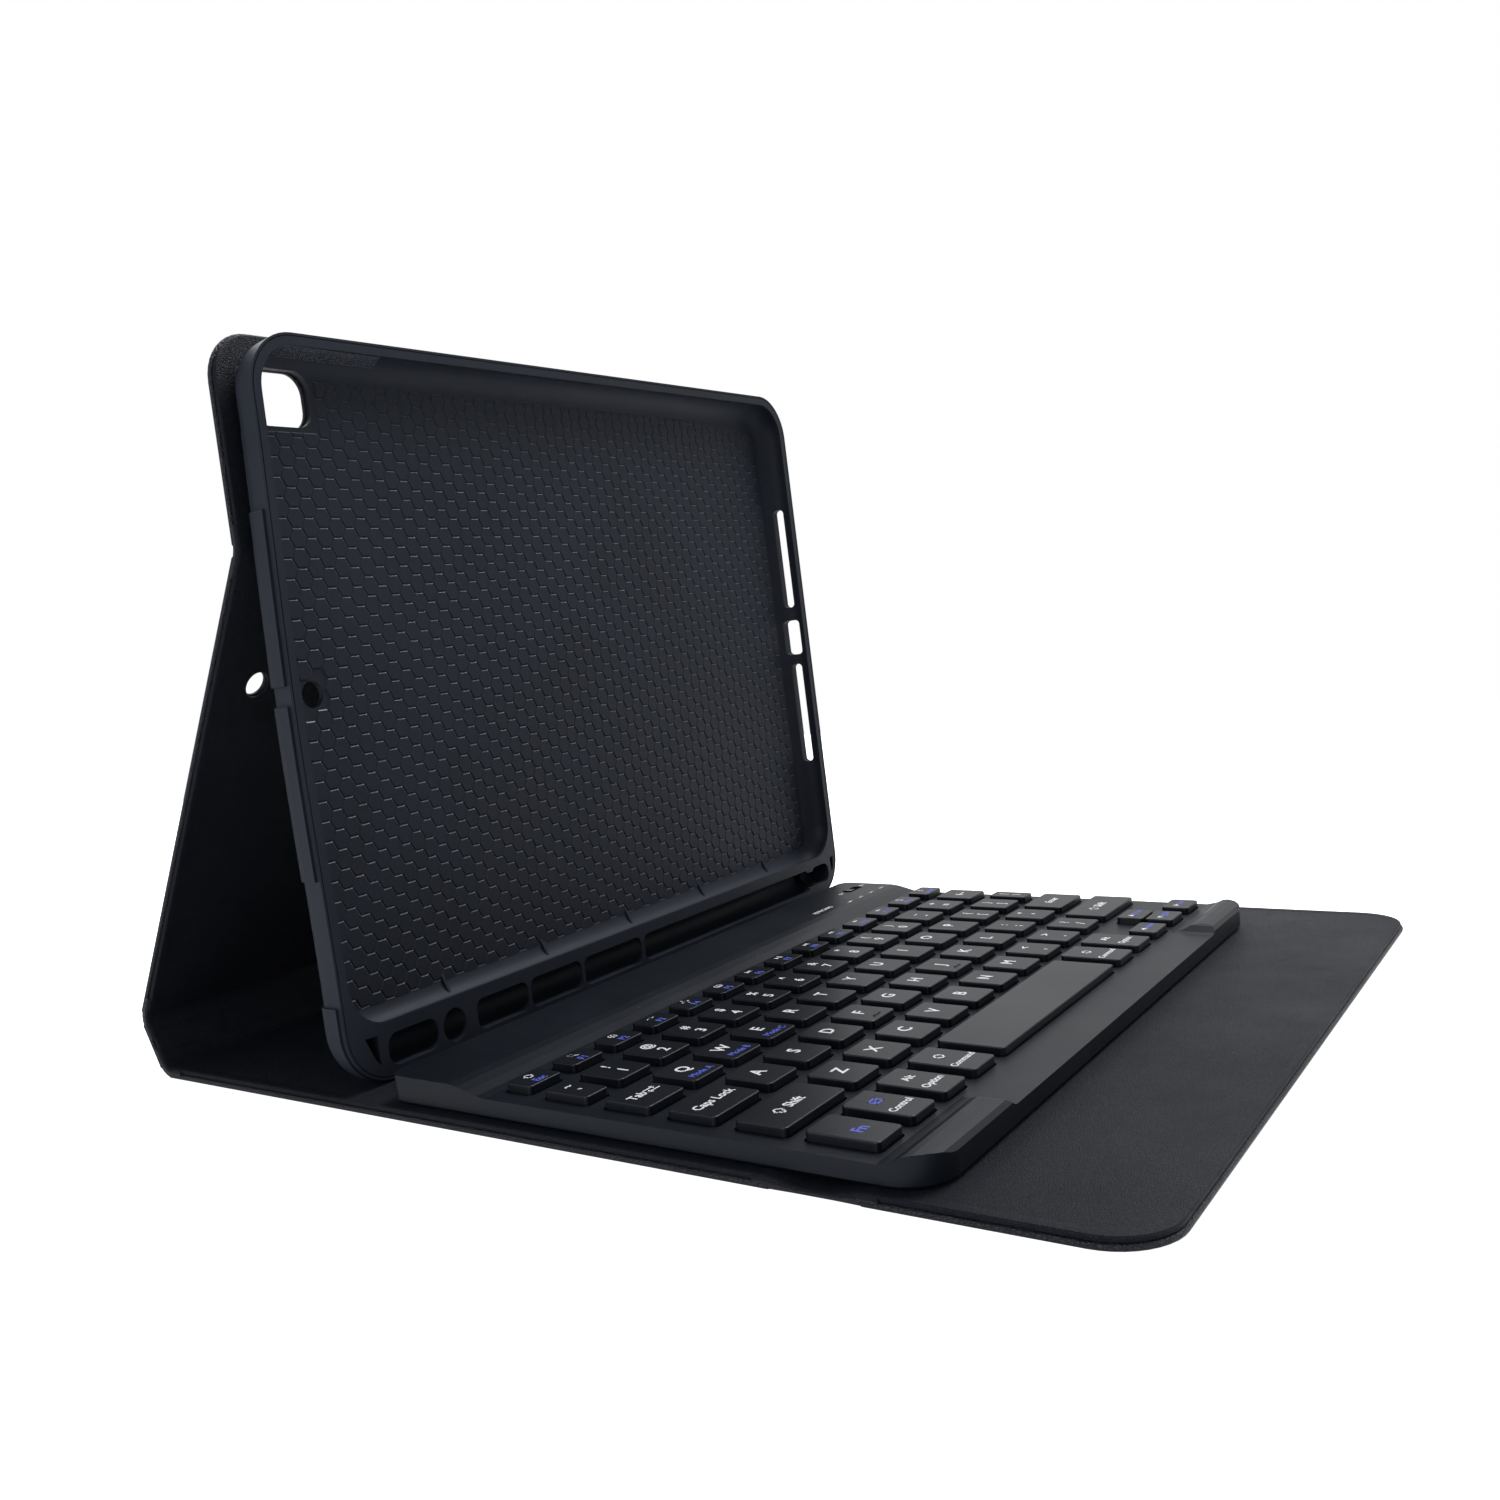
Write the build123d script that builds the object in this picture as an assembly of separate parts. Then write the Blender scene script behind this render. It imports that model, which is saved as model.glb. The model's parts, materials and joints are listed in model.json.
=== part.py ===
from build123d import *
import os
from math import sin, cos, radians

# Tablet keyboard case, open as a laptop stand.
# X runs across the case, Y from the front edge to the back, Z up from the table.
# The origin is the centre of the footprint, on the table.

# Cover panels
cover_width = 260.0
panel_thickness = 2.6
face_thickness = 0.5
seam_width = 1.5
lining_inset = 0.6
crease_gap = 1.5
web_gap = 0.8
web_half = 0.55
crease_radius = 1.25
flap_length = 58.0
wrap_length = 20.0
front_length = 195.0
spine_length = 16.5
lower_back_length = 138.5
upper_back_length = 55.0
flap_corner = 14.0
top_corner = 13.0
spine_lean = 27.0
lower_back_lean = -26.5
tray_lean = 3.0

# Tablet tray, moulded in one piece of soft plastic
tray_width = 255.5
tray_height = 190.5
tray_thickness = 10.4
tray_corner = 15.0
tray_floor = 1.5
tray_lip = 1.0
tray_below_fold = 137.52
pocket_width = 251.0
pocket_height = 174.5
pocket_bottom = 13.9
pocket_corner = 13.0
lip_overhang = 1.0
adhesive_thickness = 0.2
tray_draft = 6.0
tray_back_radius = 6.0
pocket_back_radius = 7.0
cushion_proud = 0.7
cushion_top = 9.2
channel_radius = 4.6
channel_y = 7.0
channel_z = 5.2
channel_left = -114.5
channel_right = 112.0
tray_bow = 1.4
rib_height = 1.5

# Keyboard
kb_left = 3.5
kb_width = 236.0
kb_front = 43.2
kb_depth = 144.8
kb_base = 2.9
kb_split = 5.6
kb_plate_top = 7.6
kb_plateau_top = 9.8
kb_wall = 1.4
kb_floor = 0.9
kb_deck = 1.3
kb_port_x = 190.0
kb_front_corner = 11.0
kb_rear_corner = 4.0
key_pitch = 16.75
row_pitch = 17.2
key_left = 4.8
key_rear = 159.7
key_size_u = 0.733
key_size_r = 0.736
key_base = 6.6
key_top = 9.7
key_roof = 0.9
key_wall = 0.9
key_clearance = 0.45
key_corner = 1.1
dome_base = 4.9
dome_top = 7.2

half_panel = panel_thickness / 2
front_end = flap_length + wrap_length
base_length = front_end + front_length
depth = base_length + spine_length * sin(radians(spine_lean)) + crease_radius
shift_y = depth / 2
half_width = cover_width / 2


def fold_point(start, length, lean):
    """Point reached from start along a panel that leans back by lean degrees."""
    return (start[0] + length * sin(radians(lean)), start[1] + length * cos(radians(lean)))


spine_foot = (base_length, half_panel)
spine_top = fold_point(spine_foot, spine_length, spine_lean)
back_fold = fold_point(spine_top, lower_back_length, lower_back_lean)


def place(point, lean):
    """Frame of a panel that starts at a fold, with Y along it and Z out of its lining."""
    return Pos(0, point[0] - shift_y, point[1]) * Rot(X=90 - lean)


flap_frame = place((0, half_panel), 90)
wrap_frame = place((flap_length, half_panel), 90)
front_frame = place((front_end, half_panel), 90)
spine_frame = place(spine_foot, spine_lean)
lower_frame = place(spine_top, lower_back_lean)
upper_frame = place(back_fold, tray_lean)
tray_frame = upper_frame * Pos(0, -tray_below_fold, half_panel + adhesive_thickness)


def slab(x0, x1, y0, y1, z0, z1, radius=0.0):
    """Upright block with rounded plan corners."""
    if radius > 0:
        outline = RectangleRounded(x1 - x0, y1 - y0, radius)
    else:
        outline = Rectangle(x1 - x0, y1 - y0)
    return Pos((x0 + x1) / 2, (y0 + y1) / 2, z0) * extrude(outline, z1 - z0)


def plan(x0, x1, y0, y1, front_radius, rear_radius):
    """Flat outline with separate radii for the two corners at each end."""
    middle = (y0 + y1) / 2
    width = x1 - x0
    centre = (x0 + x1) / 2
    near = Pos(centre, (y0 + middle) / 2) * Rectangle(width, middle - y0)
    far = Pos(centre, (middle + y1) / 2) * Rectangle(width, y1 - middle)
    near_corners = near.vertices().sort_by(Axis.Y)[:2]
    far_corners = far.vertices().sort_by(Axis.Y)[-2:]
    near = fillet(near_corners, front_radius)
    far = fillet(far_corners, rear_radius)
    return near + far


def save(node, shape):
    """Write one node as a STEP file."""
    shape.label = node
    export_step(shape, os.path.join("parts", node + ".step"))


def cover_panel(prefix, frame, y0, y1, near_radius, far_radius, windows, pockets):
    """Skin, stiff board and lining of one cover panel."""
    cuts = [window(0.0) for window in windows]
    rims = [window(seam_width) for window in windows]

    def layer(inset):
        near = max(near_radius - inset, 0.4)
        far = max(far_radius - inset, 0.4)
        return plan(-half_width + inset, half_width - inset, y0 + inset, y1 - inset, near, far)

    core_half = half_panel - face_thickness
    core = extrude(layer(seam_width), core_half)
    for rim in rims:
        core -= extrude(rim, core_half)
    skin = Pos(0, 0, -half_panel) * extrude(layer(0), half_panel)
    skin -= Pos(0, 0, -core_half) * core
    lining = extrude(layer(lining_inset), half_panel)
    lining -= core
    board = extrude(layer(seam_width + 0.05), 2 * core_half)
    for rim in rims:
        board -= extrude(rim, 2 * core_half)
    board = Pos(0, 0, -core_half) * board
    for cut in cuts:
        through = Pos(0, 0, -panel_thickness) * extrude(cut, 2 * panel_thickness)
        skin -= through
        lining -= through
    for pocket in pockets:
        board -= pocket
    save(prefix + "_skin", frame * skin)
    save(prefix + "_board", frame * board)
    save(prefix + "_lining", frame * lining)


def crease(node, frame):
    """Soft fold strip with a rounded bead on the fold line, fixed to the panel before it."""
    bead = Rot(Y=90) * Cylinder(crease_radius, cover_width - 2)
    tongue = Pos(0, -crease_gap / 2, 0) * Box(cover_width - 2, crease_gap, 1.0)
    save(node, frame * (bead + tongue))


def bar(x, y, width, length, thickness):
    return Pos(x, y, 0) * Box(width, length, thickness)


def build_cover():
    """Folding cover, panel by panel, with its magnets."""
    magnet_thickness = 1.2
    flap_magnets = [bar(x, 47.0, 24, 8, magnet_thickness) for x in (-88, 68)]
    front_magnets = [bar(x, 95.0, 10, 24, magnet_thickness) for x in (-110, 30)]
    back_magnets = [bar(x, 20.0, 24, 8, magnet_thickness) for x in (-50, 80)]

    def lens_window(margin):
        window = RectangleRounded(20.5 + 2 * margin, 14.6 + 2 * margin, 5.5 + margin)
        return Pos(-111.25, 38.55) * window

    def mic_window(margin):
        return Pos(-115.0, 101.4) * Circle(3.3 + margin)

    cover_panel("flap", flap_frame, 0, flap_length, flap_corner, 0.6, [], flap_magnets)
    web = slab(1 - half_width, half_width - 1, web_gap, wrap_length - web_gap, -web_half, web_half)
    save("wrap_web", wrap_frame * web)
    front_far = front_length - crease_gap
    cover_panel("front", front_frame, 0, front_far, 0.6, 0.6, [], front_magnets)
    spine_far = spine_length - crease_gap
    cover_panel("spine", spine_frame, crease_gap, spine_far, 0.6, 0.6, [], [])
    lower_far = lower_back_length - crease_gap
    cover_panel("lower_back", lower_frame, crease_gap, lower_far, 0.6, 0.6, [mic_window], [])
    cover_panel(
        "upper_back", upper_frame, crease_gap, upper_back_length, 0.6, top_corner,
        [lens_window], back_magnets,
    )
    crease("front_crease", front_frame * Pos(0, front_length, 0))
    crease("spine_crease", spine_frame * Pos(0, spine_length, 0))
    crease("back_crease", lower_frame * Pos(0, lower_back_length, 0))
    save("flap_magnets", flap_frame * Compound(children=flap_magnets))
    save("front_magnets", front_frame * Compound(children=front_magnets))
    save("back_magnets", upper_frame * Compound(children=back_magnets))
    sheet = slab(-120, 120, 4, 51, half_panel, half_panel + adhesive_thickness, 6)
    hole = Pos(0, 0, half_panel) * extrude(lens_window(1.5), 1)
    save("adhesive_sheet", upper_frame * (sheet - hole))


def bowed_outline(half, bottom, top, corner):
    """Rounded rectangle whose left side bulges a little, as the soft empty tray's does."""
    middle = (bottom + top) / 2
    left = Spline((-half, top - corner), (-half - tray_bow, middle), (-half, bottom + corner),
                  tangents=((0, -1), (0, -1)))
    start = Line((-half + corner, top), (half - corner, top))
    lines = [start]
    lines.append(RadiusArc((half - corner, top), (half, top - corner), corner))
    lines.append(Line((half, top - corner), (half, bottom + corner)))
    lines.append(RadiusArc((half, bottom + corner), (half - corner, bottom), corner))
    lines.append(Line((half - corner, bottom), (-half + corner, bottom)))
    lines.append(RadiusArc((-half + corner, bottom), (-half, bottom + corner), corner))
    lines.append(left)
    lines.append(RadiusArc((-half, top - corner), (-half + corner, top), corner))
    return make_face(Curve() + lines)


def tray_form(half, bottom, top, height, corner):
    """Outer form of the tray: its sides draw in and curve under towards the back."""
    outline = Pos(0, 0, height) * bowed_outline(half, bottom, top, corner)
    form = extrude(outline, height, dir=(0, 0, -1), taper=tray_draft)
    return fillet(form.faces().sort_by(Axis.Z)[0].edges(), tray_back_radius)


def build_tray():
    """Soft tray with the tablet pocket, its holding lip and the stylus channel below."""
    half = tray_width / 2
    top = tray_height
    body = tray_form(half, 0, top, tray_thickness, tray_corner)
    wide = half + cushion_proud
    corner = tray_corner + cushion_proud
    cushion = tray_form(wide, -cushion_proud / 2, top + cushion_proud, cushion_top, corner)
    for x0, x1, y0, y1 in ((-132, -100, 54.2, 98.0), (-132, -100, 103.0, 146.4), (-132, -106, -2, 22.0),
                           (106, 132, -2, 22.0)):
        body += cushion & slab(x0, x1, y0, y1, -1, cushion_top + 1)

    rim_groove = bowed_outline(half - 0.6, 0.6, top - 0.6, tray_corner - 0.6)
    rim_groove -= bowed_outline(half - 0.9, 0.9, top - 0.9, tray_corner - 0.9)
    body -= Pos(0, 0, tray_thickness - 0.3) * extrude(rim_groove, 1, dir=(0, 0, 1))

    pocket_half = pocket_width / 2
    pocket_top = pocket_bottom + pocket_height
    lip_under = tray_thickness - tray_lip
    recess_bottom = pocket_bottom - rib_height
    recess = bowed_outline(pocket_half, recess_bottom, pocket_top, pocket_corner)
    pocket = Pos(0, 0, tray_floor) * extrude(recess, lip_under - tray_floor, dir=(0, 0, 1))
    floor_edges = pocket.faces().sort_by(Axis.Z)[0].edges()
    coved = [e for e in floor_edges if (e @ 0.5).Y > pocket_top - 1 or (e @ 0.5).X > pocket_half - 5]
    coved = [e for e in coved if (e @ 0.5).Y > 40]
    body -= fillet(coved, pocket_back_radius)
    opening = bowed_outline(pocket_half - lip_overhang, pocket_bottom + lip_overhang,
                            pocket_top - lip_overhang, pocket_corner - lip_overhang)
    body -= Pos(0, 0, lip_under - 1) * extrude(opening, tray_lip + 2, dir=(0, 0, 1))

    channel_length = channel_right - channel_left
    bore = Rot(Y=90) * Cylinder(channel_radius, channel_length)
    body -= Pos((channel_left + channel_right) / 2, channel_y, channel_z) * bore
    window_bottom = 3.0
    window_top = 11.5
    cut_top = tray_thickness + 1
    body -= slab(-114.0, -95.5, window_bottom, window_top, channel_z, cut_top, 3.6)
    body -= Pos(-89.3, 7.3, channel_z) * extrude(Circle(4.5), cut_top - channel_z)
    for x0, x1 in ((-80.3, -58.6), (-57.4, -33.6), (-32.4, -2.9), (-1.5, 105.4)):
        body -= slab(x0, x1, window_bottom, window_top, channel_z, cut_top, 2.6)
    body -= Pos(115.6, 8.0, 6.0) * Rot(Y=90) * Cylinder(3.2, 8)
    body -= slab(98.0, 120.6, 4.8, window_top - 1.0, 6.0, cut_top, 2.8)
    body -= slab(108.0, 120.6, 4.8, window_top + 0.3, 6.0, cut_top, 3.2)
    left_slot = Polyline((-121.4, 12.4), (-116.9, 12.2), (-117.0, 4.4), (-118.6, 6.2), close=True)
    right_slot = Polyline((122.6, 13.0), (125.2, 13.4), (124.8, 9.6), (123.2, 7.4), close=True)
    for slot in (left_slot, right_slot):
        body -= Pos(0, 0, 4.5) * extrude(make_face(slot), 8)

    body -= slab(-121.5, -101.0, 168.8, 183.4, -1, tray_thickness - 2.4, 5.5)
    body -= Pos(-114.6, 100.3, -1) * extrude(Circle(3.5), 4)
    for y0, y1, z0, z1 in ((51, 89.1, 3.6, 7.1), (92.8, 106, 2.7, 8.1), (111, 148.7, 3.6, 7.1)):
        side = Rot(Y=90) * extrude(RectangleRounded(z1 - z0, y1 - y0, 1.5), 8)
        body -= Pos(pocket_half - 4, (y0 + y1) / 2, (z0 + z1) / 2) * side
    rib_pitch = 42.7
    for i in range(5):
        x = -83.1 + i * rib_pitch
        outline = Polyline((0, 0), (7.6, 0), (rib_height, 2.4), (0, 2.4), close=True)
        rib = extrude(make_face(outline), 0.4, both=True)
        body += Pos(x, recess_bottom, tray_floor) * Rot(Z=90) * Rot(X=90) * rib
    save("tablet_tray", tray_frame * body)


# Key rows: left edge and right edge in key pitches, rear and front edge in row pitches
standard = key_size_u
rows = {
    "keys_function_row": [(0.29 + 0.993 * i, 0.29 + 0.993 * i + 0.69, 0.28, 0.724)
                          for i in range(14)],
    "keys_number_row": [(1.0 + i, 1.0 + i + standard, 1.0, 1.0 + key_size_r) for i in range(12)],
    "keys_upper_row": [(1.332 + i, 1.332 + i + standard, 2.0, 2.0 + key_size_r)
                       for i in range(12)],
    "keys_home_row": [(1.593 + i, 1.593 + i + standard, 3.0, 3.0 + key_size_r)
                      for i in range(11)],
    "keys_lower_row": [(2.05 + i, 2.05 + i + standard, 4.0, 4.0 + key_size_r)
                       for i in range(10)],
}
single_keys = {
    "key_backtick": (0.24, 0.72, 1.0, 1.736),
    "key_backspace": (13.0, 13.78, 1.0, 1.736),
    "key_tab": (0.24, 1.07, 2.0, 2.736),
    "key_backslash": (13.332, 13.78, 2.0, 2.736),
    "key_caps_lock": (0.24, 1.34, 3.0, 3.736),
    "key_enter": (12.59, 13.78, 3.0, 3.736),
    "key_left_shift": (0.24, 1.79, 4.0, 4.736),
    "key_right_shift": (12.06, 13.78, 4.0, 4.736),
    "key_fn": (0.24, 0.89, 4.97, 5.956),
    "key_control": (1.17, 1.82, 4.97, 5.956),
    "key_left_option": (2.11, 2.76, 4.97, 5.956),
    "key_left_command": (3.06, 3.74, 4.97, 5.956),
    "key_space": (4.04, 8.74, 4.97, 5.956),
    "key_right_command": (9.04, 9.76, 4.97, 5.956),
    "key_right_option": (10.02, 10.74, 4.97, 5.956),
    "key_left_arrow": (11.03, 11.74, 5.482, 5.956),
    "key_down_arrow": (12.02, 12.74, 5.482, 5.956),
    "key_right_arrow": (13.04, 13.76, 5.482, 5.956),
    "key_up_arrow": (12.02, 12.74, 4.97, 5.43),
}


def key_edges(spec):
    """Edges of a key in the part's frame."""
    x0 = key_left + key_pitch * spec[0] - half_width
    x1 = key_left + key_pitch * spec[1] - half_width
    y1 = key_rear - row_pitch * spec[2] - shift_y
    y0 = key_rear - row_pitch * spec[3] - shift_y
    return x0, x1, y0, y1


def key_cap(spec):
    """Hollow key cap with rounded corners and a softened top edge."""
    x0, x1, y0, y1 = key_edges(spec)
    cap = slab(x0, x1, y0, y1, key_base, key_top, key_corner)
    cap = fillet(cap.faces().sort_by(Axis.Z)[-1].edges(), 0.3)
    cap -= slab(x0 + key_wall, x1 - key_wall, y0 + key_wall, y1 - key_wall, key_base - 1,
                key_top - key_roof)
    return cap


def all_keys():
    specs = [spec for row in rows.values() for spec in row]
    return specs + list(single_keys.values())


def build_keys():
    for node, specs in rows.items():
        save(node, Compound(children=[key_cap(spec) for spec in specs]))
    for node, spec in single_keys.items():
        save(node, key_cap(spec))


def kb_outline(inset):
    """Keyboard outline in plan, drawn in by inset."""
    x0 = kb_left - half_width + inset
    x1 = kb_left + kb_width - half_width - inset
    y0 = kb_front - shift_y + inset
    y1 = kb_front + kb_depth - shift_y - inset
    return plan(x0, x1, y0, y1, kb_front_corner - inset, kb_rear_corner - inset)


def side_profile(points, x0, x1):
    """Prism from a closed side profile of (Y, Z) points, between two X values."""
    local = [(y - shift_y, z) for y, z in points]
    face = make_face(Polyline(*local, close=True))
    prism = Rot(Z=90) * (Rot(X=90) * extrude(face, x1 - x0))
    return Pos(x0, 0, 0) * prism


def build_keyboard():
    """Keyboard body with its casings, electronics and moving switch."""
    x0 = kb_left - half_width
    x1 = x0 + kb_width
    front = kb_front
    rear = kb_front + kb_depth
    slope = [(168.0, kb_plateau_top), (165.2, kb_plateau_top - 0.3), (162.0, 8.75),
             (159.0, kb_plate_top + 0.3), (156.4, kb_plate_top)]
    profile = [(front, kb_split), (rear, kb_split), (rear, kb_plateau_top)] + slope
    profile += [(front, kb_plate_top)]
    shell = side_profile(profile, x0, x1)
    ridge = [(front, 7.0), (56.0, 7.0), (55.5, 7.62), (52.6, 8.3), (50.4, 9.45), (48.6, 9.8),
             (46.0, 9.8), (44.2, 9.45), (front, 8.5)]
    pad_length = 41.0
    pad_left = side_profile(ridge, x0, x0 + pad_length)
    pad_right = side_profile(ridge, x1 - pad_length, x1)
    for pad, x, turn in ((pad_left, x0 + pad_length, 1), (pad_right, x1 - pad_length, -1)):
        wedge = Polyline((0, kb_plate_top), (0, 11), (-5.0 * turn, 11), (-5.0 * turn, 9.8),
                         (-3.6 * turn, 9.45), (-1.4 * turn, 7.95), close=True)
        cutter = Rot(X=90) * extrude(make_face(wedge), 30, both=True)
        shell += pad - Pos(x, 50 - shift_y, 0) * cutter
    plan_block = Pos(0, 0, kb_split - 1) * extrude(kb_outline(0), 8)
    shell = shell & plan_block
    hollow = [(front, kb_split - 1), (front, kb_plate_top - kb_deck),
              (157.6, kb_plate_top - kb_deck), (166.8, kb_plateau_top - kb_deck),
              (rear, kb_plateau_top - kb_deck), (rear, kb_split - 1)]
    core = side_profile(hollow, x0, x1) & (Pos(0, 0, kb_split - 2) * extrude(kb_outline(kb_wall), 8))
    shell -= core
    wells = []
    for spec in all_keys():
        kx0, kx1, ky0, ky1 = key_edges(spec)
        gap = key_clearance
        wells.append(slab(kx0 - gap, kx1 + gap, ky0 - gap, ky1 + gap, kb_split, 9, key_corner + gap))
    shell = shell - wells
    switch_x = 228.0 - half_width
    switch_y = 178.0 - shift_y
    shell -= slab(switch_x - 5.5, switch_x + 5.5, switch_y - 1.8, switch_y + 1.8, 9.2, 11, 1.7)
    shell -= slab(switch_x - 4.2, switch_x + 4.2, switch_y - 0.9, switch_y + 0.9, 7, 11)
    windows = []
    for x in (208.8, 216.9, 225.0, 233.1):
        windows.append(Pos(x - half_width, 171.2 - shift_y, 9.0) * Box(3.4, 1.7, 1.5))
    shell = shell - windows
    floor = kb_base + kb_floor
    port_centre = kb_port_x - half_width
    port = slab(port_centre - 4.2, port_centre + 4.2, rear - shift_y - 3, rear - shift_y + 3, floor, 7.4)
    shell -= port
    save("kb_top_case", shell)
    pipes = [window & slab(-130, 130, 0, 60, 8.5, kb_plateau_top - 0.05) for window in windows]
    save("kb_light_guides", Compound(children=pipes))

    bottom = Pos(0, 0, kb_base) * extrude(kb_outline(0), kb_split - kb_base)
    bottom = chamfer(bottom.faces().sort_by(Axis.Z)[0].edges(), 0.7)
    bottom -= Pos(0, 0, kb_base + kb_floor) * extrude(kb_outline(kb_wall), 5)
    bottom -= port
    save("kb_bottom_case", bottom)

    inner_x0 = x0 + kb_wall + 0.3
    inner_x1 = x1 - kb_wall - 0.3
    deck_y0 = 53.0 - shift_y
    deck_y1 = 158.5 - shift_y
    save("kb_key_plate", slab(inner_x0, inner_x1, deck_y0, deck_y1, floor, 4.3, 1))
    save("kb_membrane", slab(inner_x0 + 1, inner_x1 - 1, deck_y0 + 1, deck_y1 - 1, 4.3, 4.6, 1))
    sheet = slab(inner_x0 + 1, inner_x1 - 1, deck_y0 + 1, deck_y1 - 1, 4.6, dome_base, 1)
    domes = []
    for spec in all_keys():
        kx0, kx1, ky0, ky1 = key_edges(spec)
        centre = Pos((kx0 + kx1) / 2, (ky0 + ky1) / 2, (dome_base + dome_top) / 2)
        domes.append(centre * Cone(2.4, 1.6, dome_top - dome_base))
    save("kb_dome_sheet", sheet + domes)

    rear_y0 = 162.5 - shift_y
    rear_y1 = 185.5 - shift_y
    board_rear = 181.5 - shift_y
    save("kb_battery", slab(-108, 8, rear_y0, rear_y1, floor, 7.1, 1.5))
    save("kb_circuit_board", slab(20, 106, rear_y0, board_rear, floor, 4.8, 1))
    mouth_x0 = port_centre - 3.2
    mouth_x1 = port_centre + 3.2
    socket = slab(mouth_x0 - 0.7, mouth_x1 + 0.7, board_rear, rear - shift_y - 0.2, floor, 7.1)
    socket -= slab(mouth_x0, mouth_x1, board_rear + 1.1, rear - shift_y + 1, 4.7, 6.5)
    save("kb_charge_socket", socket)
    knob = slab(switch_x - 3.6, switch_x - 0.4, switch_y - 1.3, switch_y + 1.3, 9.3, 10.0, 0.5)
    knob += slab(switch_x - 3.3, switch_x - 0.7, switch_y - 0.7, switch_y + 0.7, 7.4, 9.3)
    save("kb_switch_slider", knob)
    bars = [Pos(x, y - shift_y, floor + 0.6) * Box(22, 5, 1.2) for x, y in
            ((-88.0, 49.0), (68.0, 49.0))]
    bars.append(Pos(13.5, 173 - shift_y, floor + 0.6) * Box(8, 22, 1.2))
    save("kb_magnets", Compound(children=bars))


os.makedirs("parts", exist_ok=True)
build_cover()
build_tray()
build_keys()
build_keyboard()
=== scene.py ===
import bpy
import bmesh
import json
import math
import random
from mathutils import Matrix, Vector, noise


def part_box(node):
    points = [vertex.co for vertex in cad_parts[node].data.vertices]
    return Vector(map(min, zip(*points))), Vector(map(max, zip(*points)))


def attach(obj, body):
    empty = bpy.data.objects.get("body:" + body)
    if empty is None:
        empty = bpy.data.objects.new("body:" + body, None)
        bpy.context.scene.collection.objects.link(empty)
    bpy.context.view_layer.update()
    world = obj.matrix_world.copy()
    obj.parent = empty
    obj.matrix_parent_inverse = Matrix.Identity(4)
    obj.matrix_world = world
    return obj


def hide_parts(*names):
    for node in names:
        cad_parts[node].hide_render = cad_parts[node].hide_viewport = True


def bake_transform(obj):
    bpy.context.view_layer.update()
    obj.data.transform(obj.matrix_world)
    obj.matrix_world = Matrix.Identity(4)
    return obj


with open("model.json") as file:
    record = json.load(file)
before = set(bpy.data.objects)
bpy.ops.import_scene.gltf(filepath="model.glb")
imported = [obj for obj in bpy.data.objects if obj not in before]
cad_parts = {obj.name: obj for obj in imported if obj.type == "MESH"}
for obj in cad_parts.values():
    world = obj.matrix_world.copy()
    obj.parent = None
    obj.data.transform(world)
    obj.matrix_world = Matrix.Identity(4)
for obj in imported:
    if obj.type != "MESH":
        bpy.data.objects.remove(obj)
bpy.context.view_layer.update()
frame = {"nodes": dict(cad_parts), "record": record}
MM = 0.001
random.seed(7)

# ---------------------------------------------------------------- frames of the folding panels
pivot = {j["name"]: Vector(j["pos_m"]) for j in frame["record"]["behaviour"]["joints"] if "pos_m" in j}
HALF = 0.130            # half the cover's width
THICK = 0.0013          # half the cover's thickness
GAP = 0.0015            # from a fold's axis to the edge of the stiff panel beside it
SQUARE_CORNER = 0.0006
FLAP_CORNER = 0.014
BACK_CORNER = 0.013
BACK_HEIGHT = 0.055     # upper back panel above its fold
TRAY_DROP = 0.13752     # from the upper back's fold down to the tray's lower edge
GLUE_LINE = 0.0002


def panel_frame(origin, slope):
    """Frame with X across, Y along the panel and Z out of its lining; slope is in degrees from +Y to +Z."""
    return Matrix.Translation(origin) @ Matrix.Rotation(math.radians(slope), 4, "X")


front_y = pivot["wrap_fold"].y
flap_y = pivot["flap_fold"].y
flap_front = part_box("flap_skin")[0][1]
spine_axis = pivot["spine_fold"]
lower_axis = pivot["lower_back_fold"]
upper_axis = pivot["upper_back_fold"]
SLOPE = {"base": 0.0, "spine": 63.0, "lower_back": 116.5, "upper_back": 87.0}
FRAMES = {
    "flap": panel_frame(Vector((0, flap_front, THICK)), 0),
    "wrap": panel_frame(Vector((0, flap_y, THICK)), 0),
    "base": panel_frame(Vector((0, front_y, THICK)), 0),
    "spine": panel_frame(spine_axis, SLOPE["spine"]),
    "lower_back": panel_frame(lower_axis, SLOPE["lower_back"]),
    "upper_back": panel_frame(upper_axis, SLOPE["upper_back"]),
}
LENGTH = {
    "flap": flap_y - flap_front,
    "base": spine_axis.y - front_y,
    "spine": (lower_axis - spine_axis).length,
    "lower_back": (upper_axis - lower_axis).length,
    "upper_back": BACK_HEIGHT,
}
TRAY = FRAMES["upper_back"] @ Matrix.Translation((0, -TRAY_DROP, THICK + GLUE_LINE))


# ---------------------------------------------------------------- materials
COOL_SHEEN = (0.84, 0.88, 1.0, 1)
# darkest factor of the painted shade in the leather grain's creases
CREASE_PAINTED_SHADE = (0.45, 0.45, 0.45)
BLACK = (0, 0, 0)
FULL = (1, 1, 1)
DUST = (0.5, 0.5, 0.52, 1)


def new_material(name, rough=0.5, specular=0.5):
    m = bpy.data.materials.new(name)
    m.use_nodes = True
    nt = m.node_tree
    b = nt.nodes["Principled BSDF"]
    b.inputs["Roughness"].default_value = rough
    b.inputs["Specular IOR Level"].default_value = specular
    b.inputs["Specular Tint"].default_value = COOL_SHEEN
    return m, nt, b


def node(nt, kind, **values):
    n = nt.nodes.new(kind)
    for k, v in values.items():
        if k in n.inputs:
            n.inputs[k].default_value = v
        else:
            setattr(n, k, v)
    return n


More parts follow.
